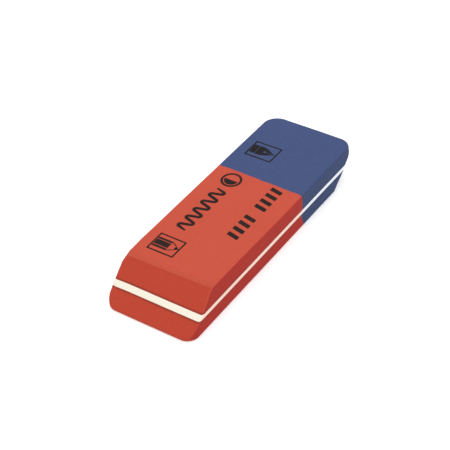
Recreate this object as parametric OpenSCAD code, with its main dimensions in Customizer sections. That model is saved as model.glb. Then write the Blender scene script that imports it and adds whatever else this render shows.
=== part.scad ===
// Two-colour block eraser, lying flat.
// Red and blue rubber above and below, with a thin white rubber layer between them.
// Origin at the middle of the underside: X along the length to the blue end, Z up.

/* [Block] */
// Overall length, from tip to tip
block_l = 59.2; // [40:0.1:90]
// Width across the long sides
block_w = 20; // [12:0.1:32]
// How far each end leans over the full height
lean = 8.4; // [0:0.1:12]

/* [Layers] */
// Thickness of the coloured rubber under the white layer
lower_t = 3.4; // [2:0.05:6]
// Thickness of the white layer
white_t = 0.9; // [0.3:0.05:3]
// Thickness of the coloured rubber above the white layer
upper_t = 3.55; // [2:0.05:6]
// Length of the blue end, from its tip to the seam
blue_l = 20.2; // [14:0.1:26]

/* [Edges] */
// Plan radius of the two corners at each tip
corner_r = 2.8; // [1.2:0.1:5.5]
// Radius that softens the slanted corners between the ends and the long sides
end_r = 0.5; // [0.2:0.05:1.2]
// Radius that softens every other edge
edge_r = 0.45; // [0.2:0.05:1]

/* [Hidden] */

white_top = lower_t + white_t;
block_h = white_top + upper_t;
seam_x = block_l / 2 - blue_l;
// Angle of the end faces to the underside
slope = atan2(block_h, lean);
// Length that the tips would reach if no radius took off their sharp corners
sharp_l = block_l + 2 * edge_r * (1 / tan(slope / 2) - 1);
// Longer than the block in every direction
far = 2 * block_l;
// How far a bar that only rounds corners stands outside the flats between them
skin = 0.02;
// Steps of each round in the side view
steps = 12;
$fn = 64;

// A long bar about the Z axis, with a rounded rectangle a by b as its section
module bar(a, b, r) {
  x = a / 2 - r;
  y = b / 2 - r;
  linear_extrude(far, center = true) {
    for (sx = [-1, 1], sy = [-1, 1])
      translate([sx * x, sy * y]) circle(r = r);
    square([a, 2 * y], center = true);
    square([2 * x, b], center = true);
  }
}

// Points of a softened edge, anticlockwise about its centre from angle a0 to a1
function soft_edge(centre, a0, a1) =
  [for (i = [0:steps]) let (a = a0 + (a1 - a0) * i / steps) centre + edge_r * [cos(a), sin(a)]];

// The side view: the bottom tip sticks out at the red end, the top tip at the blue end
module side_view() {
  tip = block_l / 2 - edge_r;
  rise = block_h - 2 * edge_r;
  run = lean * rise / block_h;
  translate([0, edge_r])
    polygon(concat(
      soft_edge([-tip, 0], slope + 90, 270),
      soft_edge([tip - run, 0], 270, slope + 270),
      soft_edge([tip, rise], slope - 90, 90),
      soft_edge([run - tip, rise], 90, slope + 90)
    ));
}

// The whole block is what four bars have in common: an upright one, one along the length,
// one along the slope of the ends, and one across the width
module block() {
  intersection() {
    bar(block_l + 2 * skin, block_w + 2 * skin, corner_r);
    translate([0, 0, block_h / 2]) rotate([90, 0, 90]) bar(block_w, block_h, edge_r);
    translate([0, 0, block_h / 2]) rotate([0, 90 - slope, 0])
      bar((sharp_l - lean) * sin(slope) + 2 * skin, block_w + 2 * skin, end_r);
    rotate([90, 0, 0]) linear_extrude(far, center = true) side_view();
  }
}

// The stretch of the block from x0 to x1 and from z0 to z1
module stretch(x0, x1, z0, z1) {
  intersection() {
    block();
    translate([x0, -far / 2, z0]) cube([x1 - x0, far, z1 - z0]);
  }
}

module upper_red() {
  color("indianred") stretch(-far, seam_x, white_top, far);
}

module upper_blue() {
  color("slateblue") stretch(seam_x, far, white_top, far);
}

module white_layer() {
  color("white") stretch(-far, far, lower_t, white_top);
}

module lower_red() {
  color("indianred") stretch(-far, seam_x, -far, lower_t);
}

module lower_blue() {
  color("slateblue") stretch(seam_x, far, -far, lower_t);
}

upper_red();
upper_blue();
white_layer();
lower_red();
lower_blue();
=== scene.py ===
import math

import bmesh
import bpy
from bpy.props import FloatProperty, FloatVectorProperty, PointerProperty
from bpy.types import Operator, Panel, PropertyGroup
from mathutils import Matrix, Vector, noise


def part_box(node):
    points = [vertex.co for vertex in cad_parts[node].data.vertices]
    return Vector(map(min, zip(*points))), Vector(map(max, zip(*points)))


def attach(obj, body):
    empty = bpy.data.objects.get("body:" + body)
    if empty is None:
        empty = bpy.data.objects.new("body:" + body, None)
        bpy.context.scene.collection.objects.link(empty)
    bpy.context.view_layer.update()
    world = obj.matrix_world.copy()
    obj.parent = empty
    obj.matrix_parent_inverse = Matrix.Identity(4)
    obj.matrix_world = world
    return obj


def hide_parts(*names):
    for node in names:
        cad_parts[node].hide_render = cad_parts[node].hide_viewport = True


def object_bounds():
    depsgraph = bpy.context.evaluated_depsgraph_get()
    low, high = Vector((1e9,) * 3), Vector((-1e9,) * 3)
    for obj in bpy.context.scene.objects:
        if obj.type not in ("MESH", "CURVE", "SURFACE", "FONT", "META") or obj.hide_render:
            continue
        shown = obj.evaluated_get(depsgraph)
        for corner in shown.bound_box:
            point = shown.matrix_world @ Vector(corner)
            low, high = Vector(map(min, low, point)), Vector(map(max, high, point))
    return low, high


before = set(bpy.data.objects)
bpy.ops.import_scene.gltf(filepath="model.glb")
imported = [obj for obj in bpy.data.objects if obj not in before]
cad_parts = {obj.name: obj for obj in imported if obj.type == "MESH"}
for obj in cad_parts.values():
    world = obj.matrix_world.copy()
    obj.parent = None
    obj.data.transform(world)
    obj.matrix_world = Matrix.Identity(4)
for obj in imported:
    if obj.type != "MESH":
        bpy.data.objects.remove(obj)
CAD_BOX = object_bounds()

bl_info = {
    "name": "Slanted Block Eraser",
    "version": (1, 0, 0),
    "blender": (4, 5, 0),
    "location": "3D View > Sidebar > Eraser",
    "description": "Builds a red and blue rubber eraser with a white middle layer and its studio",
    "category": "Object",
}

# Meshes are built in millimetres and brought to metres at the end
MM = 0.001
LOW, HIGH = CAD_BOX
BASE_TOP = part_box("white_layer")[0].z
LAYER_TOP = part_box("white_layer")[1].z
SEAM_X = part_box("upper_blue")[0].x
# A point this near to a cut lies on it, in millimetres
NEAR = 1e-4
# Distance over which the rubber's faces drift from true and back, in millimetres
DRIFT_SPAN = 9.0
# Picks the drift, which would otherwise be another one in each run
DRIFT_SEED = 7
# Lines along the rubber's faces that let them waver, in millimetres
SCORES_X = range(-29, 30)
SCORES_Y = range(-9, 10)
SCORES_Z = (0.9, 1.7, 2.5, 5.1, 6.0, 6.9)
# Width of the line round each sign and the rounding of its corners, in millimetres
FRAME_LINE = 0.33
FRAME_R = 0.12
# Pale grit and dust in the coloured rubbers
DUST = (0.75, 0.72, 0.72)


def length(label, text, default):
    """A size property in metres."""
    return FloatProperty(
        name=label, description=text, default=default, precision=5,
        unit="LENGTH", subtype="DISTANCE")


def angle(label, text, degrees):
    """An angle property, given in degrees."""
    return FloatProperty(
        name=label, description=text, default=math.radians(degrees),
        unit="ROTATION", subtype="ANGLE")


def colour(label, text, default):
    """A colour property in linear values."""
    return FloatVectorProperty(
        name=label, description=text, default=default, subtype="COLOR", min=0, max=1)


class BlockSizes(PropertyGroup):
    block_l: length("Length", "Overall length from tip to tip", HIGH.x - LOW.x)
    block_w: length("Width", "Width across the long sides", HIGH.y - LOW.y)
    block_h: length("Height", "Height of the three layers together", HIGH.z - LOW.z)
    lean: length("Lean", "How far each end leans over the full height", 0.0084)
    base_top: length("Base top", "Height of the lower coloured rubber", BASE_TOP)
    layer_top: length("White top", "Height of the white layer's upper face", LAYER_TOP)
    seam_x: length("Seam", "Place of the seam between red and blue along the length", SEAM_X)
    red_corner_r: length("Red corner radius", "Plan radius of the red tip's corners", 0.0024)
    blue_corner_r: length("Blue corner radius", "Plan radius of the blue tip's corners", 0.0031)
    blunt_corner_r: length("Blunt corner radius", "Rounding of the four blunt corners", 0.00085)
    uneven: length("Unevenness", "How far the corners' radii vary between left and right", 0.0003)
    end_r: length("End corner radius", "Radius of the slanted corners beside the ends", 0.0005)
    side_r: length("Long edge radius", "Radius of the long edges, above and below", 0.00052)
    crease_r: length("Crease radius", "Radius of the blunt edge at the top of each end", 0.0008)
    edge_r: length("Edge radius", "Radius that softens every other edge", 0.00045)
    joint_r: length("Joint softening", "Softening of the edges where two rubbers meet", 0.00006)
    waver: length("Waver", "How far the faces waver from true", 0.00003)
    skew: length("Skew", "How far the upper edges of the ends run out of square", 0.00024)
    taper: length("Taper", "How far the upper right edge runs inwards towards the red end", 0.00028)
    fullness: length("Fullness", "How far two of the slanted corners bulge at mid height", 0.00009)
    lip: length("Lip", "How far the lower blue rubber stands out under the white layer", 0.0003)
    inset: length("Clearance", "How far the rubber stays inside the block's nominal box", 0.00003)


class InkSizes(PropertyGroup):
    film: length("Ink film", "Thickness of the ink above the rubber", 0.000015)
    sink: length("Ink sink", "Depth that the ink reaches into the rubber", 0.00003)
    wave_line: length("Wave line", "Width of the wavy line", 0.0007)


class EraserColours(PropertyGroup):
    # Each rubber has three copies of its colour, one for each way a face turns: painted light on
    # the flat faces, painted shade on the ends and more painted shade on the sides
    red: colour("Red rubber", "Soft rubber for pencil, on flat faces", (0.576, 0.0787, 0.0410))
    red_end_shaded: colour("Red ends", "The same rubber on the ends", (0.541, 0.0544, 0.0250))
    red_side_shaded: colour("Red sides", "The same rubber on the sides", (0.397, 0.0223, 0.0139))
    blue: colour("Blue rubber", "Gritty rubber for ink, on flat faces", (0.0524, 0.0800, 0.2006))
    blue_end_shaded: colour("Blue ends", "The same rubber on the ends", (0.0460, 0.0700, 0.1750))
    blue_side_shaded: colour("Blue sides", "The same rubber on the sides", (0.0402, 0.0612, 0.1478))
    # The white's sides by the red are darker and pinker than its ends: painted shade on the sides,
    # with a pink tint
    white: colour("White rubber", "Layer through the middle, at the red end", (1.0, 0.93, 0.79))
    white_side_shaded_by_red: colour("White by the red", "The same layer on the red sides", (1.0, 0.745, 0.63))
    white_by_blue: colour("White by the blue", "The same layer by the blue", (0.88, 0.92, 1.0))
    ink: colour("Print ink", "Ink of the marks on the top", (0.011, 0.009, 0.008))


class StageSizes(PropertyGroup):
    eye: FloatVectorProperty(
        name="Camera place", description="Where the camera stands", size=3,
        unit="LENGTH", subtype="TRANSLATION", default=(-0.159241, -0.114083, 0.167208))
    azimuth: angle("Azimuth", "Camera's turn about the upright axis", -53.8074)
    elevation: angle("Elevation", "Camera's height angle above the floor", 39.9707)
    roll: angle("Roll", "Camera's turn about its own line of sight", 3.8202)
    lens: FloatProperty(
        name="Lens", description="Focal length in millimetres on a 36 mm sensor", default=104.0)
    floor_w: length("Floor width", "Width of the floor", 6.0)


def all_of(bm):
    return bm.verts[:] + bm.edges[:] + bm.faces[:]


def slice_at(bm, point, normal):
    """Scores a line round the mesh where a plane meets it."""
    bmesh.ops.bisect_plane(bm, geom=all_of(bm), dist=NEAR, plane_co=point, plane_no=normal)


def cut_off(bm, point, normal):
    """Cuts off what lies beyond a plane, and closes the cut."""
    found = bmesh.ops.bisect_plane(
        bm, geom=all_of(bm), dist=NEAR, plane_co=point, plane_no=normal, clear_outer=True)
    rim = [e for e in found["geom_cut"] if isinstance(e, bmesh.types.BMEdge)]
    if rim:
        bmesh.ops.edgeloop_fill(bm, edges=rim)


def round_edge(bm, first, second, radius, steps):
    """Rounds the edge between two faces, each given as its outward normal and its distance out."""
    bend = first[0].angle(second[0])
    for step in range(1, steps):
        turn = step / steps * bend
        # The weights of the two normals that give a unit normal turned from the first to the second
        a = math.sin(bend - turn) / math.sin(bend)
        b = math.sin(turn) / math.sin(bend)
        normal = a * first[0] + b * second[0]
        reach = a * (first[1] - radius) + b * (second[1] - radius) + radius
        cut_off(bm, normal * reach, normal)


def round_corner(bm, faces, radius, steps):
    """Rounds the corner between three faces, each given as its outward normal and distance out."""
    normals = Matrix([normal for normal, out in faces])
    centre = normals.inverted() @ Vector([out - radius for normal, out in faces])
    for a in range(1, steps - 1):
        for b in range(1, steps - a):
            normal = (a * normals[0] + b * normals[1] + (steps - a - b) * normals[2]).normalized()
            cut_off(bm, centre + normal * radius, normal)


def soft_block(sizes):
    """The whole block in millimetres: what a small ball sweeps as it rolls round inside it."""
    r = sizes.edge_r / MM
    height = (sizes.block_h - sizes.inset) / MM
    half_w = (sizes.block_w / 2 - sizes.inset) / MM
    half_l = (sizes.block_l / 2 - sizes.inset) / MM
    slope = math.atan2(height, sizes.lean / MM)
    sharp_tip = half_l + r * (1 / math.tan(slope / 2) - 1)

    core = bmesh.new()
    bmesh.ops.create_grid(core, x_segments=1, y_segments=1, size=1)
    bmesh.ops.scale(core, vec=(half_l - r, half_w - r, 1), verts=core.verts)
    # The four corners of the plan: which way each lies along and across the block, and its radius
    uneven = sizes.uneven / MM
    red_r, blue_r = sizes.red_corner_r / MM, sizes.blue_corner_r / MM
    for x, y, radius in ((-1, -1, red_r + uneven / 2), (-1, 1, red_r),
                         (1, -1, blue_r - uneven), (1, 1, blue_r + uneven)):
        corner = max(core.verts, key=lambda v: v.co.x * x + v.co.y * y)
        bmesh.ops.bevel(core, geom=[corner], offset=radius - r, offset_type="OFFSET", segments=14,
                        profile=0.5, affect="VERTICES", material=-1)
    bmesh.ops.translate(core, vec=(0, 0, r), verts=core.verts)
    raised = bmesh.ops.extrude_face_region(core, geom=core.faces[:])
    top = [v for v in raised["geom"] if isinstance(v, bmesh.types.BMVert)]
    bmesh.ops.translate(core, vec=(0, 0, height - 2 * r), verts=top)

    # Each face of the core: its outward normal, and how far out it lies
    far_end = Vector((math.sin(slope), 0, -math.cos(slope)))
    near_end = -far_end
    out_near = near_end.dot(Vector((-sharp_tip, 0, 0))) - r
    out_far = far_end.dot(Vector((sharp_tip, 0, height))) - r
    ends = ((near_end, out_near), (far_end, out_far))
    over = (Vector((0, 0, 1)), height - r)
    under = (Vector((0, 0, -1)), -r)
    sides = [(Vector((0, way, 0)), half_w - r) for way in (-1, 1)]
    for normal, out in ends:
        cut_off(core, normal * out, normal)
    for end in ends:
        for side in sides:
            round_edge(core, end, side, sizes.end_r / MM - r, steps=6)
    for side in sides:
        for cap in (over, under):
            round_edge(core, side, cap, sizes.side_r / MM - r, steps=3)
    for cap, end in ((over, ends[0]), (under, ends[1])):
        round_edge(core, cap, end, sizes.crease_r / MM - r, steps=3)
        for side in sides:
            rounding = sizes.blunt_corner_r / MM + side[0].y * uneven
            round_corner(core, (cap, end, side), rounding - r, steps=4)

    # A ball at each corner of the core, and one skin round them all
    ball = bmesh.new()
    bmesh.ops.create_uvsphere(ball, u_segments=24, v_segments=12, radius=r)
    ball_mesh = bpy.data.meshes.new("ball")
    ball.to_mesh(ball_mesh)
    ball.free()
    bm = bmesh.new()
    for v in core.verts:
        bm.from_mesh(ball_mesh)
        bm.verts.ensure_lookup_table()
        bmesh.ops.translate(bm, vec=v.co, verts=bm.verts[-len(ball_mesh.vertices):])
    bpy.data.meshes.remove(ball_mesh)
    core.free()
    hull = bmesh.ops.convex_hull(bm, input=bm.verts[:], use_existing_faces=False)
    kept = {g for g in hull["geom"] if isinstance(g, bmesh.types.BMFace)}
    bmesh.ops.delete(bm, geom=[f for f in bm.faces if f not in kept], context="FACES_ONLY")
    bmesh.ops.delete(bm, geom=[e for e in bm.edges if not e.link_faces], context="EDGES")
    bmesh.ops.delete(bm, geom=[v for v in bm.verts if not v.link_faces], context="VERTS")
    bmesh.ops.dissolve_limit(
        bm, angle_limit=math.radians(0.6), verts=bm.verts[:], edges=bm.edges[:])
    bmesh.ops.recalc_face_normals(bm, faces=bm.faces[:])
    block = bpy.data.meshes.new("whole_block")
    bm.to_mesh(block)
    bm.free()
    return block


def share_of(value, start, end):
    """0 at start, 1 at end, even between them."""
    return min(1.0, max(0.0, (value - start) / (end - start)))


def waver_at(p, sizes):
    """How far the rubber stands from true at a point, in millimetres."""
    x, y, z = p
    reach = sizes.waver / MM
    joint, soft = sizes.base_top / MM, sizes.joint_r / MM
    layer_top, top = sizes.layer_top / MM, sizes.block_h / MM

    # Two places in the noise, so that the coarse and the fine drift differ
    noise.seed_set(DRIFT_SEED)
    q = Vector(p) / DRIFT_SPAN
    drift = noise.noise_vector(q + Vector((3.1, 7.7, 1.9)))
    fine = noise.noise_vector(q * 4.0 + Vector((11.3, 2.4, 5.6)))
    shift = (drift * 0.75 + fine * 0.25) * reach
    # The underside stays flat, and the top nearly so
    shift.z *= 0.3 * share_of(z, 0.0, 1.5)

    # The upper edge of the red end runs out of square, and so does the right half of the blue end
    skew = sizes.skew / MM
    high = share_of(z, layer_top, top)
    shift.x -= skew * high * share_of(x, -16.0, -22.0) * y / 10
    shift.x -= skew / 2 * share_of(x, 20.0, 28.0) * share_of(y, -2.0, -10.0)

    # The lip lies right under the white layer, on the right half of the blue end
    lip = sizes.lip / MM * share_of(z, 0.6, joint - 0.3) * share_of(z, joint + soft, joint - soft)
    shift.x += lip * share_of(x, 19.0, 24.0) * share_of(y, 6.0, -6.0)

    # Towards the red end the upper long edges run inwards, the right one sooner than the left one
    taper = sizes.taper / MM
    shift.y += taper * high * share_of(x, 0.0, -14.0) * share_of(y, -4.0, -10.0)
    shift.y -= taper / 2 * high * share_of(x, -17.0, -20.0) * share_of(y, 4.0, 10.0)

    # The left corner of the red end and the right one of the blue end bulge at mid height
    bulge = sizes.fullness / MM * share_of(-x * y, 190.0, 225.0)
    bulge *= share_of(z, 1.5, 3.5) * share_of(z, 7.8, 6.4)
    shift.x += math.copysign(bulge, x)
    shift.y += math.copysign(bulge, y)
    return shift


def pull_in(p, sizes):
    """A point brought back inside the block's nominal box."""
    margin = 0.005
    half_l = sizes.block_l / MM / 2 - margin
    half_w = sizes.block_w / MM / 2 - margin
    top = sizes.block_h / MM - margin
    return Vector((
        min(half_l, max(-half_l, p.x)),
        min(half_w, max(-half_w, p.y)),
        min(top, max(0.0, p.z)),
    ))


def object_of(bm, name):
    """An object in metres, made from a closed bmesh in millimetres that isn't needed any more."""
    bmesh.ops.scale(bm, vec=(MM, MM, MM), verts=bm.verts)
    bmesh.ops.recalc_face_normals(bm, faces=bm.faces[:])
    mesh = bpy.data.meshes.new(name)
    bm.to_mesh(mesh)
    bm.free()
    made = bpy.data.objects.new(name, mesh)
    bpy.context.scene.collection.objects.link(made)
    return made


def rubber_piece(name, node, material, x_range=None, z_range=None):
    """One rubber of the block: the whole block cut to its stretch, with softened joint edges."""
    sizes = bpy.context.scene.eraser_block
    block = bpy.data.meshes.get("whole_block") or soft_block(sizes)
    bm = bmesh.new()
    bm.from_mesh(block)
    rims = []
    for axis, limits in ((0, x_range), (2, z_range)):
        if not limits:
            continue
        for limit, side in zip(limits, (-1, 1)):
            if limit is None:
                continue
            point = Vector((0, 0, 0))
            normal = Vector((0, 0, 0))
            point[axis] = limit / MM
            normal[axis] = side
            cut_off(bm, point, normal)
            rims.append((axis, limit / MM))
    joint = [e for e in bm.edges if is_joint(e, rims)]
    bmesh.ops.bevel(bm, geom=joint, offset=sizes.joint_r / MM, offset_type="OFFSET", segments=2,
                    profile=0.5, affect="EDGES", clamp_overlap=True, material=-1)
    for x in SCORES_X:
        slice_at(bm, (x, 0, 0), (1, 0, 0))
    for y in SCORES_Y:
        slice_at(bm, (0, y, 0), (0, 1, 0))
    for z in SCORES_Z:
        slice_at(bm, (0, 0, z), (0, 0, 1))
    # Slivers that the cuts leave are closed up
    bmesh.ops.remove_doubles(bm, verts=bm.verts[:], dist=0.004)
    bmesh.ops.dissolve_degenerate(bm, dist=0.001, edges=bm.edges[:])
    for v in bm.verts:
        v.co = pull_in(v.co + waver_at(v.co, sizes), sizes)
    piece = object_of(bm, name)
    piece.data.shade_smooth()
    weighted = piece.modifiers.new("Even shading", "WEIGHTED_NORMAL")
    weighted.mode = "FACE_AREA"
    weighted.weight = 50
    weighted.keep_sharp = False
    piece.data.materials.append(material)
    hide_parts(node)
    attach(piece, "root")


def is_joint(edge, rims):
    """Whether an edge lies on the outline of a joint face, where that meets the block's skin."""
    for axis, place in rims:
        # Only one of its faces then lies in the joint's plane
        flat = [f for f in edge.link_faces if abs(f.normal[axis]) > 0.999
                and abs(f.calc_center_median()[axis] - place) < 1e-3]
        if len(flat) == 1:
            return True
    return False


class Wire:
    """A value in a node tree, so that sums of sizes read as sums."""

    def __init__(self, tree, socket):
        self.tree = tree
        self.socket = socket

    def run(self, operation, *others):
        node = self.tree.nodes.new("ShaderNodeMath")
        node.operation = operation
        for slot, value in zip(node.inputs, (self, *others)):
            if isinstance(value, Wire):
                self.tree.links.new(value.socket, slot)
            else:
                slot.default_value = value
        return Wire(self.tree, node.outputs[0])

    def __add__(self, other):
        return self.run("ADD", other)

    def __sub__(self, other):
        return self.run("SUBTRACT", other)

    def __mul__(self, other):
        return self.run("MULTIPLY", other)

    def least(self, other):
        return self.run("MINIMUM", other)

    def most(self, other):
        return self.run("MAXIMUM", other)

    def size(self):
        return self.run("ABSOLUTE")

    def under(self, limit):
        """limit minus this value."""
        return (self * -1.0) + limit

    def ramp(self, low, high):
        """0 at low, 1 at high, smooth between them."""
        node = self.tree.nodes.new("ShaderNodeMapRange")
        node.interpolation_type = "SMOOTHSTEP"
        self.tree.links.new(self.socket, node.inputs["Value"])
        node.inputs["From Min"].default_value = low
        node.inputs["From Max"].default_value = high
        return Wire(self.tree, node.outputs["Result"])


class Finish:
    """A material that is put together from object coordinates."""

    def __init__(self, name):
        self.material = bpy.data.materials.new(name)
        self.material.use_nodes = True
        self.tree = self.material.node_tree
        self.shader = self.tree.nodes["Principled BSDF"]
        coords = self.tree.nodes.new("ShaderNodeTexCoord")
        self.place = coords.outputs["Object"]
        parts = self.tree.nodes.new("ShaderNodeSeparateXYZ")
        self.tree.links.new(self.place, parts.inputs[0])
        self.x, self.y, self.z = (Wire(self.tree, s) for s in parts.outputs)

    def faces(self):
        """Two wires that pick the faces for painted shade: one is 1 on the slanted ends, one is 1
        on the sides, both are 0 elsewhere.
        """
        node = self.tree.nodes.new("ShaderNodeNewGeometry")
        parts = self.tree.nodes.new("ShaderNodeSeparateXYZ")
        self.tree.links.new(node.outputs["Normal"], parts.inputs[0])
        along, across = (Wire(self.tree, socket).size() for socket in parts.outputs[:2])
        return along.ramp(0.42, 0.67), across.ramp(0.50, 0.95)

    def noise(self, grain, detail=3.0, roughness=0.55):
        """Noise from 0 to 1 whose spots are about grain metres wide."""
        node = self.tree.nodes.new("ShaderNodeTexNoise")
        self.tree.links.new(self.place, node.inputs["Vector"])
        node.inputs["Scale"].default_value = 1 / grain
        node.inputs["Detail"].default_value = detail
        node.inputs["Roughness"].default_value = roughness
        return Wire(self.tree, node.outputs["Fac"])

    def specks(self, spacing):
        """Distance to scattered points about spacing metres apart, in units of that spacing."""
        node = self.tree.nodes.new("ShaderNodeTexVoronoi")
        self.tree.links.new(self.place, node.inputs["Vector"])
        node.inputs["Scale"].default_value = 1 / spacing
        return Wire(self.tree, node.outputs["Distance"])

    def mix(self, share, first, second):
        """second over first by a share from 0 to 1. Each is a colour or another mix's output."""
        node = self.tree.nodes.new("ShaderNodeMix")
        node.data_type = "RGBA"
        node.clamp_factor = True
        self.tree.links.new(share.socket, node.inputs["Factor"])
        # The node has one pair of inputs for each kind of value: 6 and 7 are the colours
        for slot, value in ((node.inputs[6], first), (node.inputs[7], second)):
            if isinstance(value, bpy.types.NodeSocket):
                self.tree.links.new(value, slot)
            else:
                slot.default_value = (*value, 1.0)
        return node.outputs[2]

    def toned(self, base, tone):
        """A colour made darker or lighter by a factor."""
        node = self.tree.nodes.new("ShaderNodeVectorMath")
        node.operation = "SCALE"
        self.tree.links.new(base, node.inputs[0])
        self.tree.links.new(tone.socket, node.inputs["Scale"])
        return node.outputs[0]

    def surface(self, base, rough, shine):
        """Gives the shader its colour and roughness from wires, and its shine as a plain number."""
        self.tree.links.new(base, self.shader.inputs["Base Color"])
        self.tree.links.new(rough.socket, self.shader.inputs["Roughness"])
        self.shader.inputs["Specular IOR Level"].default_value = shine

    def bumps(self, height, distance):
        """Raises the surface by height times distance."""
        node = self.tree.nodes.new("ShaderNodeBump")
        node.inputs["Distance"].default_value = distance
        self.tree.links.new(height.socket, node.inputs["Height"])
        self.tree.links.new(node.outputs["Normal"], self.shader.inputs["Normal"])

    def off_middle(self, sizes):
        """Distance to the middle of the white layer, and half of that layer's thickness."""
        middle = (sizes.base_top + sizes.layer_top) / 2
        half = (sizes.layer_top - sizes.base_top) / 2
        return (self.z - middle).size(), half

    def edge_distance(self, sizes):
        """Distance to the nearest edge of the block: the second smallest distance to its faces."""
        slope = math.atan2(sizes.block_h, sizes.lean)
        half = (sizes.block_l - sizes.lean) / 2
        along = self.x - (self.z * (sizes.lean / sizes.block_h) - sizes.lean / 2)
        ends = along.size().under(half) * math.sin(slope)
        caps = self.z.least(self.z.under(sizes.block_h))
        sides = self.y.size().under(sizes.block_w / 2)
        low = ends.least(caps)
        return low.most(ends.most(caps).least(sides))

    def past_seam(self, sizes):
        """0 on the red side of the seam, 1 on the blue side. The line between wavers a little."""
        # It leans on the lower rubber, and runs a little out of square across the block
        lower = (self.z - sizes.base_top).ramp(0.0003, -0.0001)
        lean = self.z.under(0.0018) * lower * 0.40 + self.y * 0.018 - 0.00010
        wide, fine = self.noise(0.004, detail=2.0), self.noise(0.0006, detail=2.0)
        waver = (wide - 0.5) * 0.0008 + (fine - 0.5) * 0.0003
        half_width = 0.00013
        return (self.x - sizes.seam_x - lean + waver).ramp(-half_width, half_width)


def blend_of(first, second, share):
    """A colour between two."""
    return tuple(a * (1 - share) + b * share for a, b in zip(first[:3], second[:3]))


def coloured_rubber(name, colours, sizes, gritty):
    """Matte rubber, paler on its flat faces and darker on its ends and sides as painted light and
    shade, and darker right beside the white layer.
    """
    finish = Finish(name)
    # Clouds of tone, fine mottling, the grain of the surface and small pits with painted shade in
    # them
    blotch = finish.noise(0.008, detail=2.0)
    fine = finish.noise(0.0007, detail=4.0, roughness=0.6)
    grain = finish.noise(0.00016, detail=3.0, roughness=0.65)
    pits_with_painted_shade = finish.specks(0.0021).ramp(0.10, 0.04)
    # Painted light and shade by face direction: the flat faces get the lit colour, the ends a
    # darker copy and the sides a darker one still
    end, side = finish.faces()
    red = finish.mix(end, colours.red[:], colours.red_end_shaded[:])
    red = finish.mix(side, red, colours.red_side_shaded[:])
    blue = finish.mix(end, colours.blue[:], colours.blue_end_shaded[:])
    blue = finish.mix(side, blue, colours.blue_side_shaded[:])
    base = finish.mix(finish.past_seam(sizes), red, blue)

    # Grit that shows in the blue rubber, or a little dust in the red one
    spacing, strength = (0.00034, 0.22) if gritty else (0.0008, 0.05)
    specks = finish.specks(spacing).ramp(0.24, 0.10)
    pale = blend_of(colours.blue if gritty else colours.red, DUST, 0.35)
    base = finish.mix(specks * strength, base, pale)

    # Rubbed edges, and the darker line by the white layer
    rub = (finish.edge_distance(sizes) + (fine - 0.5) * 0.0003).ramp(0.0007, 0.0)
    off_middle, half = finish.off_middle(sizes)
    beside_white = (off_middle - half).ramp(0.00038, 0.00010)
    # How far each of them lightens or darkens the rubber, as a share of its own colour
    tone = (blotch - 0.5) * 0.10 + (fine - 0.5) * 0.16
    # The pits are painted darker, as shade in them
    tone = tone - pits_with_painted_shade * 0.12 - rub * 0.05 - beside_white * 0.40
    rough = fine * 0.14 + (0.80 if gritty else 0.72)
    finish.surface(finish.toned(base, tone + 1.0), rough, 0.30)
    coarse, depth = (0.9, 0.000045) if gritty else (0.5, 0.00003)
    finish.bumps(grain * coarse + fine * 0.5 - pits_with_painted_shade * 0.8, depth)
    return finish.material


def white_rubber(name, colours, sizes):
    """Cream rubber that takes a little of the colour beside it, with painted shade on its sides by
    the red, which are darker and pinker than its ends, and with coloured dust at its rims.
    """
    finish = Finish(name)
    blotch = finish.noise(0.005, detail=2.0)
    fine = finish.noise(0.0005, detail=4.0, roughness=0.6)
    off_middle, half = finish.off_middle(sizes)
    rim = off_middle + (fine - 0.5) * 0.0002
    past_seam = finish.past_seam(sizes)
    # Painted shade: on the red half the sides get a darker, pinker colour than the ends
    sides = finish.mix(past_seam, colours.white_side_shaded_by_red[:], colours.white_by_blue[:])
    ends = finish.mix(past_seam, colours.white[:], colours.white_by_blue[:])
    own = finish.mix(finish.faces()[1], ends, sides)
    dust = finish.mix(past_seam, colours.red_side_shaded[:], colours.blue_side_shaded[:])
    base = finish.mix(rim.ramp(half - 0.00010, half + 0.00004) * 0.25, own, dust)
    tone = (blotch - 0.5) * 0.05 + (fine - 0.5) * 0.08
    finish.surface(finish.toned(base, tone + 1.0), fine * 0.15 + 0.74, 0.4)
    finish.bumps(fine * 0.7 + finish.noise(0.00018) * 0.5, 0.00003)
    return finish.material


def print_ink(name, own, ground):
    """Stamped ink that lets a little of the rubber through, in thin patches and fine pores."""
    finish = Finish(name)
    fine = finish.noise(0.00022, detail=3.0, roughness=0.6)
    wide = finish.noise(0.0016, detail=2.0)
    thin, pores = wide.ramp(0.35, 0.75) * 0.25, fine.ramp(0.62, 0.76) * 0.40
    base = finish.mix(thin, own[:], blend_of(own, ground, 0.15))
    base = finish.mix(pores, base, blend_of(own, ground, 0.6))
    finish.surface(base, fine * 0.2 + 0.55, 0.12)
    finish.bumps(fine, 0.00002)
    return finish.material


def material_of(key):
    """One of the eraser's materials, made the first time it is asked for."""
    name = "eraser " + key.replace("_", " ")
    made = bpy.data.materials.get(name)
    if made:
        return made
    colours = bpy.context.scene.eraser_colours
    sizes = bpy.context.scene.eraser_block
    if key == "red_rubber":
        return coloured_rubber(name, colours, sizes, gritty=False)
    if key == "blue_rubber":
        return coloured_rubber(name, colours, sizes, gritty=True)
    if key == "white_rubber":
        return white_rubber(name, colours, sizes)
    return print_ink(name, colours.ink, colours.red if key == "ink_on_red" else colours.blue)


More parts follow.
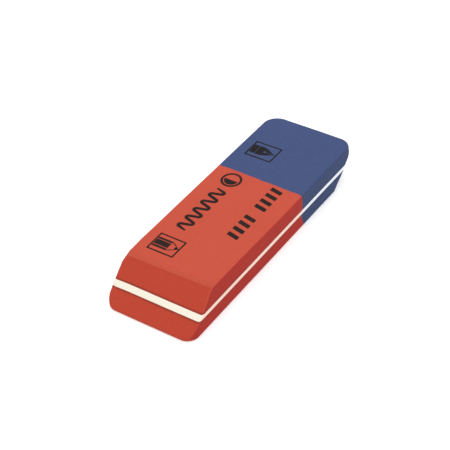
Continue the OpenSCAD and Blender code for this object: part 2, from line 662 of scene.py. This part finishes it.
def flat_box(bm, centre, width, height, radius, slant=0.0):
    """A flat rectangle with rounded corners, sheared along X by slant, and its face."""
    before = set(bm.faces)
    made = bmesh.ops.create_grid(bm, x_segments=1, y_segments=1, size=0.5)["verts"]
    bmesh.ops.scale(bm, vec=(width, height, 1), verts=made)
    for v in made:
        v.co.x += slant * v.co.y
    bmesh.ops.translate(bm, vec=(*centre, 0), verts=made)
    bmesh.ops.bevel(bm, geom=made, offset=radius, offset_type="OFFSET", segments=5, profile=0.5,
                    affect="VERTICES", material=-1)
    return next(f for f in bm.faces if f not in before)


def flat_frame(bm, centre, width, height):
    """A rectangle's outline as a flat band."""
    face = flat_box(bm, centre, width, height, FRAME_R)
    bmesh.ops.inset_region(bm, faces=[face], thickness=FRAME_LINE, use_boundary=True,
                           use_even_offset=True)
    bmesh.ops.delete(bm, geom=[face], context="FACES")


def flat_shape(bm, points):
    """A flat face through a few points."""
    bm.faces.new([bm.verts.new((x, y, 0)) for x, y in points])


def short_edge(bm, middle, heading, line):
    """The end of a line: an edge across the way that it goes."""
    side = Vector((-math.sin(heading), math.cos(heading), 0)) * line / 2
    ends = [bm.verts.new(Vector((*middle, 0)) - side), bm.verts.new(Vector((*middle, 0)) + side)]
    return bm.edges.new(ends)


def go_on(bm, edge, heading, distance):
    """Draws a line straight on from its end, and returns its new end."""
    made = bmesh.ops.extrude_edge_only(bm, edges=[edge])["geom"]
    ends = [v for v in made if isinstance(v, bmesh.types.BMVert)]
    step = Vector((math.cos(heading), math.sin(heading), 0)) * distance
    bmesh.ops.translate(bm, vec=step, verts=ends)
    return bm.edges.get(ends)


def turn_on(bm, edge, heading, turn, radius):
    """Draws a line on round a bend, and returns its new end."""
    middle = (edge.verts[0].co + edge.verts[1].co) / 2
    left = Vector((-math.sin(heading), math.cos(heading), 0))
    centre = middle + left * math.copysign(radius, turn)
    steps = max(3, round(abs(turn) / math.radians(15)))
    made = bmesh.ops.spin(
        bm, geom=[*edge.verts, edge], cent=centre, axis=(0, 0, 1), angle=turn, steps=steps)
    ends = [v for v in made["geom_last"] if isinstance(v, bmesh.types.BMVert)]
    return bm.edges.get(ends)


def narrow(bm, edge, share):
    """Makes the end of a line narrower."""
    middle = (edge.verts[0].co + edge.verts[1].co) / 2
    bmesh.ops.scale(
        bm, vec=(share, share, 1), space=Matrix.Translation(-middle), verts=edge.verts[:])


def straight_line(bm, start, end, line):
    """A straight line from point to point."""
    heading = math.atan2(end[1] - start[1], end[0] - start[0])
    go_on(bm, short_edge(bm, start, heading, line), heading, math.dist(start, end))


# The marks are drawn flat, in millimetres, where they lie on the block

def draw_pencil(bm):
    """A pencil that points to the near long side, in a frame."""
    x, y = -16.19, 4.47
    body_l, body_y, corner = 3.24, y + 1.00, 0.08
    flat_frame(bm, (x, y), width=4.92, height=6.06)
    flat_box(bm, (x, body_y), 1.36, body_l, corner)
    for side in (-1, 1):
        flat_box(bm, (x + side * 1.10, body_y), 0.50, body_l, corner)
        straight_line(bm, (x + side * 1.22, y - 0.70), (x + side * 0.56, y - 1.84), line=0.20)
    # The lead
    flat_shape(bm, [(x - 0.56, y - 1.92), (x, y - 2.78), (x + 0.56, y - 1.92), (x, y - 1.78)])


def draw_nib(bm):
    """A pen's nib that points to the near long side, in a frame."""
    x, y = 17.51, 4.34
    flat_frame(bm, (x, y), width=5.02, height=6.24)
    # The holder
    flat_box(bm, (x, y + 2.10), 2.66, 1.26, 0.10)
    # The nib's outline is joined to its hole by the slit that runs to the tip
    hole_r = 0.28
    turns = [math.radians(degrees) for degrees in range(15, 360, 30)]
    hole = [(hole_r * math.sin(turn), -hole_r - hole_r * math.cos(turn)) for turn in turns]
    half = [(1.40, 1.36), (1.38, 0.55), (1.20, -0.35), (0.78, -1.20), (0.34, -1.95), (0.07, -2.68)]
    outline = [(-0.07, -2.68), *((-a, b) for a, b in half[-2::-1]), *half]
    flat_shape(bm, [(x + a, y + b) for a, b in (*outline, *hole)])


def draw_wave(bm):
    """A scribbled line that goes up and down along the block."""
    line = bpy.context.scene.eraser_ink.wave_line / MM
    start, strokes, stroke_l = (-10.95, 3.95), 11, 1.90
    heading, bend_r = math.radians(74), 0.42
    edge = first = short_edge(bm, start, heading, line)
    for stroke in range(strokes):
        edge = go_on(bm, edge, heading, stroke_l)
        if stroke < strokes - 1:
            turn = -2 * heading
            edge = turn_on(bm, edge, heading, turn, bend_r)
            heading += turn
    narrow(bm, edge, 0.5)
    narrow(bm, first, 0.5)


def draw_half_disc(bm):
    """A ring round a half disc."""
    x, y = 6.42, 4.82
    radius, line, gap, steps = 2.2, 0.48, 0.22, 40
    ring = short_edge(bm, (x + radius - line / 2, y), math.pi / 2, line)
    bmesh.ops.spin(bm, geom=[*ring.verts, ring], cent=(x, y, 0), axis=(0, 0, 1), angle=math.tau,
                   steps=steps, use_merge=True)
    disc = bmesh.ops.create_circle(bm, cap_ends=True, radius=radius - line - gap, segments=steps,
                                   matrix=Matrix.Translation((x, y, 0)))["verts"]
    near = {f for v in disc for f in v.link_faces}
    geom = [*disc, *{e for v in disc for e in v.link_edges}, *near]
    bmesh.ops.bisect_plane(
        bm, geom=geom, dist=NEAR, plane_co=(x, y, 0), plane_no=(1, 0, 0), clear_outer=True)


def draw_bars(bm):
    """Two groups of four short slanted bars."""
    pitch, y = 1.94, -4.88
    for first in (-7.62, 1.96):
        for place in range(4):
            flat_box(bm, (first + pitch * place, y), 1.02, 2.70, 0.14, slant=0.2)


def ink_piece(name, material, draw):
    """A mark stamped on the top face: flat shapes given the thickness of the ink."""
    block = bpy.context.scene.eraser_block
    ink = bpy.context.scene.eraser_ink
    bm = bmesh.new()
    draw(bm)
    bmesh.ops.remove_doubles(bm, verts=bm.verts[:], dist=NEAR)
    top = (block.block_h - block.inset) / MM
    bmesh.ops.translate(bm, vec=(0, 0, top - ink.sink / MM), verts=bm.verts[:])
    raised = bmesh.ops.extrude_face_region(bm, geom=bm.faces[:])
    verts = [v for v in raised["geom"] if isinstance(v, bmesh.types.BMVert)]
    bmesh.ops.translate(bm, vec=(0, 0, (ink.sink + ink.film) / MM), verts=verts)
    # The ink goes along with the waver of the rubber under it
    for v in bm.verts:
        v.co += waver_at(Vector((v.co.x, v.co.y, top)), block)
    piece = object_of(bm, name)
    piece.data.materials.append(material)
    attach(piece, "root")


class ERASER_OT_red_rubber(Operator):
    """Builds the upper and the lower red rubber"""

    bl_idname = "eraser.red_rubber"
    bl_label = "Red rubber"

    def execute(self, context):
        sizes = context.scene.eraser_block
        material = material_of("red_rubber")
        rubber_piece("red_rubber_above", "upper_red", material,
                     x_range=(None, sizes.seam_x), z_range=(sizes.layer_top, None))
        rubber_piece("red_rubber_below", "lower_red", material,
                     x_range=(None, sizes.seam_x), z_range=(None, sizes.base_top))
        return {"FINISHED"}


class ERASER_OT_blue_rubber(Operator):
    """Builds the upper and the lower blue rubber"""

    bl_idname = "eraser.blue_rubber"
    bl_label = "Blue rubber"

    def execute(self, context):
        sizes = context.scene.eraser_block
        material = material_of("blue_rubber")
        rubber_piece("blue_rubber_above", "upper_blue", material,
                     x_range=(sizes.seam_x, None), z_range=(sizes.layer_top, None))
        rubber_piece("blue_rubber_below", "lower_blue", material,
                     x_range=(sizes.seam_x, None), z_range=(None, sizes.base_top))
        return {"FINISHED"}


class ERASER_OT_white_layer(Operator):
    """Builds the thin white layer through the middle"""

    bl_idname = "eraser.white_layer"
    bl_label = "White layer"

    def execute(self, context):
        sizes = context.scene.eraser_block
        material = material_of("white_rubber")
        rubber_piece("white_rubber_layer", "white_layer", material,
                     z_range=(sizes.base_top, sizes.layer_top))
        return {"FINISHED"}


class ERASER_OT_signs(Operator):
    """Prints a pencil on the red rubber and a pen's nib on the blue, each in a frame"""

    bl_idname = "eraser.signs"
    bl_label = "Pencil and pen signs"

    def execute(self, context):
        ink_piece("sign_pencil", material_of("ink_on_red"), draw_pencil)
        ink_piece("sign_pen", material_of("ink_on_blue"), draw_nib)
        return {"FINISHED"}


class ERASER_OT_plain_marks(Operator):
    """Prints plain shapes on the red rubber: a scribbled line, a half disc in a ring and bars"""

    bl_idname = "eraser.plain_marks"
    bl_label = "Plain marks"

    def execute(self, context):
        material = material_of("ink_on_red")
        ink_piece("mark_scribble", material, draw_wave)
        ink_piece("mark_half_disc", material, draw_half_disc)
        ink_piece("mark_bars", material, draw_bars)
        return {"FINISHED"}


class ERASER_OT_stage(Operator):
    """Builds the floor, the lights and the camera"""

    bl_idname = "eraser.stage"
    bl_label = "Studio"

    def execute(self, context):
        stage = context.scene.eraser_stage
        bm = bmesh.new()
        bmesh.ops.create_grid(bm, x_segments=1, y_segments=1, size=stage.floor_w / 2)
        mesh = bpy.data.meshes.new("studio_floor")
        bm.to_mesh(mesh)
        bm.free()
        floor = bpy.data.objects.new("studio_floor", mesh)
        context.scene.collection.objects.link(floor)
        mesh.materials.append(floor_paint())

        context.scene.world = plain_sky()
        lamp("soft_box_above", place=Vector((0.05, 0.05, 0.75)), width=0.6, power=1.6)
        lamp("soft_box_side", place=Vector((0.12, -0.62, 0.14)), width=0.4, power=0.7)
        context.scene.camera = camera_at(stage)
        context.scene.view_settings.view_transform = "Standard"
        return {"FINISHED"}


def camera_at(stage):
    """The camera: where it stands, turned to where it looks, and rolled."""
    camera = bpy.data.cameras.new("studio_camera")
    camera.sensor_width = 36
    camera.sensor_fit = "HORIZONTAL"
    camera.lens = stage.lens
    camera.clip_start = 0.01
    camera.clip_end = 20
    eye = bpy.data.objects.new("studio_camera", camera)
    bpy.context.scene.collection.objects.link(eye)
    a, e = stage.azimuth, stage.elevation
    back = Vector((math.sin(a) * math.cos(e), -math.cos(a) * math.cos(e), math.sin(e)))
    turn = (-back).to_track_quat("-Z", "Y").to_matrix() @ Matrix.Rotation(-stage.roll, 3, "Z")
    eye.matrix_world = Matrix.Translation(stage.eye) @ turn.to_4x4()
    return eye


def seen_rays(tree):
    """1 for the rays that show a background: straight to the camera, mirrored or through glass."""
    rays = tree.nodes.new("ShaderNodeLightPath")
    camera, mirrored, through = (Wire(tree, rays.outputs[name]) for name in (
        "Is Camera Ray", "Is Glossy Ray", "Is Transmission Ray"))
    return camera.most(mirrored).most(through)


def plain_sky():
    """An even white world, a little dimmer as a light than it looks."""
    as_light, as_seen = 0.78, 1.0
    world = bpy.data.worlds.new("studio_world")
    world.use_nodes = True
    tree = world.node_tree
    background = tree.nodes["Background"]
    background.inputs["Color"].default_value = (1, 1, 1, 1)
    strength = tree.nodes.new("ShaderNodeMix")
    strength.data_type = "FLOAT"
    tree.links.new(seen_rays(tree).socket, strength.inputs["Factor"])
    strength.inputs["A"].default_value = as_light
    strength.inputs["B"].default_value = as_seen
    tree.links.new(strength.outputs["Result"], background.inputs["Strength"])
    return world


def lamp(name, place, width, power):
    """A square area light that looks at the middle of the floor."""
    light = bpy.data.lights.new(name, "AREA")
    light.shape = "SQUARE"
    light.size = width
    light.energy = power
    obj = bpy.data.objects.new(name, light)
    obj.location = place
    obj.rotation_mode = "QUATERNION"
    obj.rotation_quaternion = (-place).to_track_quat("-Z", "Y")
    bpy.context.scene.collection.objects.link(obj)


def floor_paint():
    """Plain pale floor: it keeps the shadow, and shows white where nothing shades it."""
    glow = 0.40
    made = bpy.data.materials.new("studio floor")
    made.use_nodes = True
    tree = made.node_tree
    shader = tree.nodes["Principled BSDF"]
    shader.inputs["Base Color"].default_value = (0.86, 0.86, 0.86, 1)
    shader.inputs["Roughness"].default_value = 0.9
    shader.inputs["Specular IOR Level"].default_value = 0.2
    shader.inputs["Emission Color"].default_value = (1, 1, 1, 1)
    tree.links.new((seen_rays(tree) * glow).socket, shader.inputs["Emission Strength"])
    return made


class ERASER_PT_builder(Panel):
    bl_idname = "ERASER_PT_builder"
    bl_label = "Block eraser"
    bl_space_type = "VIEW_3D"
    bl_region_type = "UI"
    bl_category = "Eraser"

    def draw(self, context):
        layout = self.layout
        for group in ("eraser_block", "eraser_ink", "eraser_colours", "eraser_stage"):
            box = layout.box()
            settings = getattr(context.scene, group)
            for name in settings.__annotations__:
                box.prop(settings, name)
        for operator in OPERATORS:
            layout.operator(operator.bl_idname)


OPERATORS = (ERASER_OT_red_rubber, ERASER_OT_blue_rubber, ERASER_OT_white_layer, ERASER_OT_signs,
             ERASER_OT_plain_marks, ERASER_OT_stage)
CLASSES = (BlockSizes, InkSizes, EraserColours, StageSizes, *OPERATORS, ERASER_PT_builder)


def register():
    for cls in CLASSES:
        bpy.utils.register_class(cls)
    bpy.types.Scene.eraser_block = PointerProperty(type=BlockSizes)
    bpy.types.Scene.eraser_ink = PointerProperty(type=InkSizes)
    bpy.types.Scene.eraser_colours = PointerProperty(type=EraserColours)
    bpy.types.Scene.eraser_stage = PointerProperty(type=StageSizes)


def unregister():
    del bpy.types.Scene.eraser_stage
    del bpy.types.Scene.eraser_colours
    del bpy.types.Scene.eraser_ink
    del bpy.types.Scene.eraser_block
    for cls in reversed(CLASSES):
        bpy.utils.unregister_class(cls)


def main():
    register()
    bpy.ops.eraser.red_rubber()
    bpy.ops.eraser.blue_rubber()
    bpy.ops.eraser.white_layer()
    bpy.ops.eraser.signs()
    bpy.ops.eraser.plain_marks()
    bpy.ops.eraser.stage()


if __name__ == "__main__":
    main()
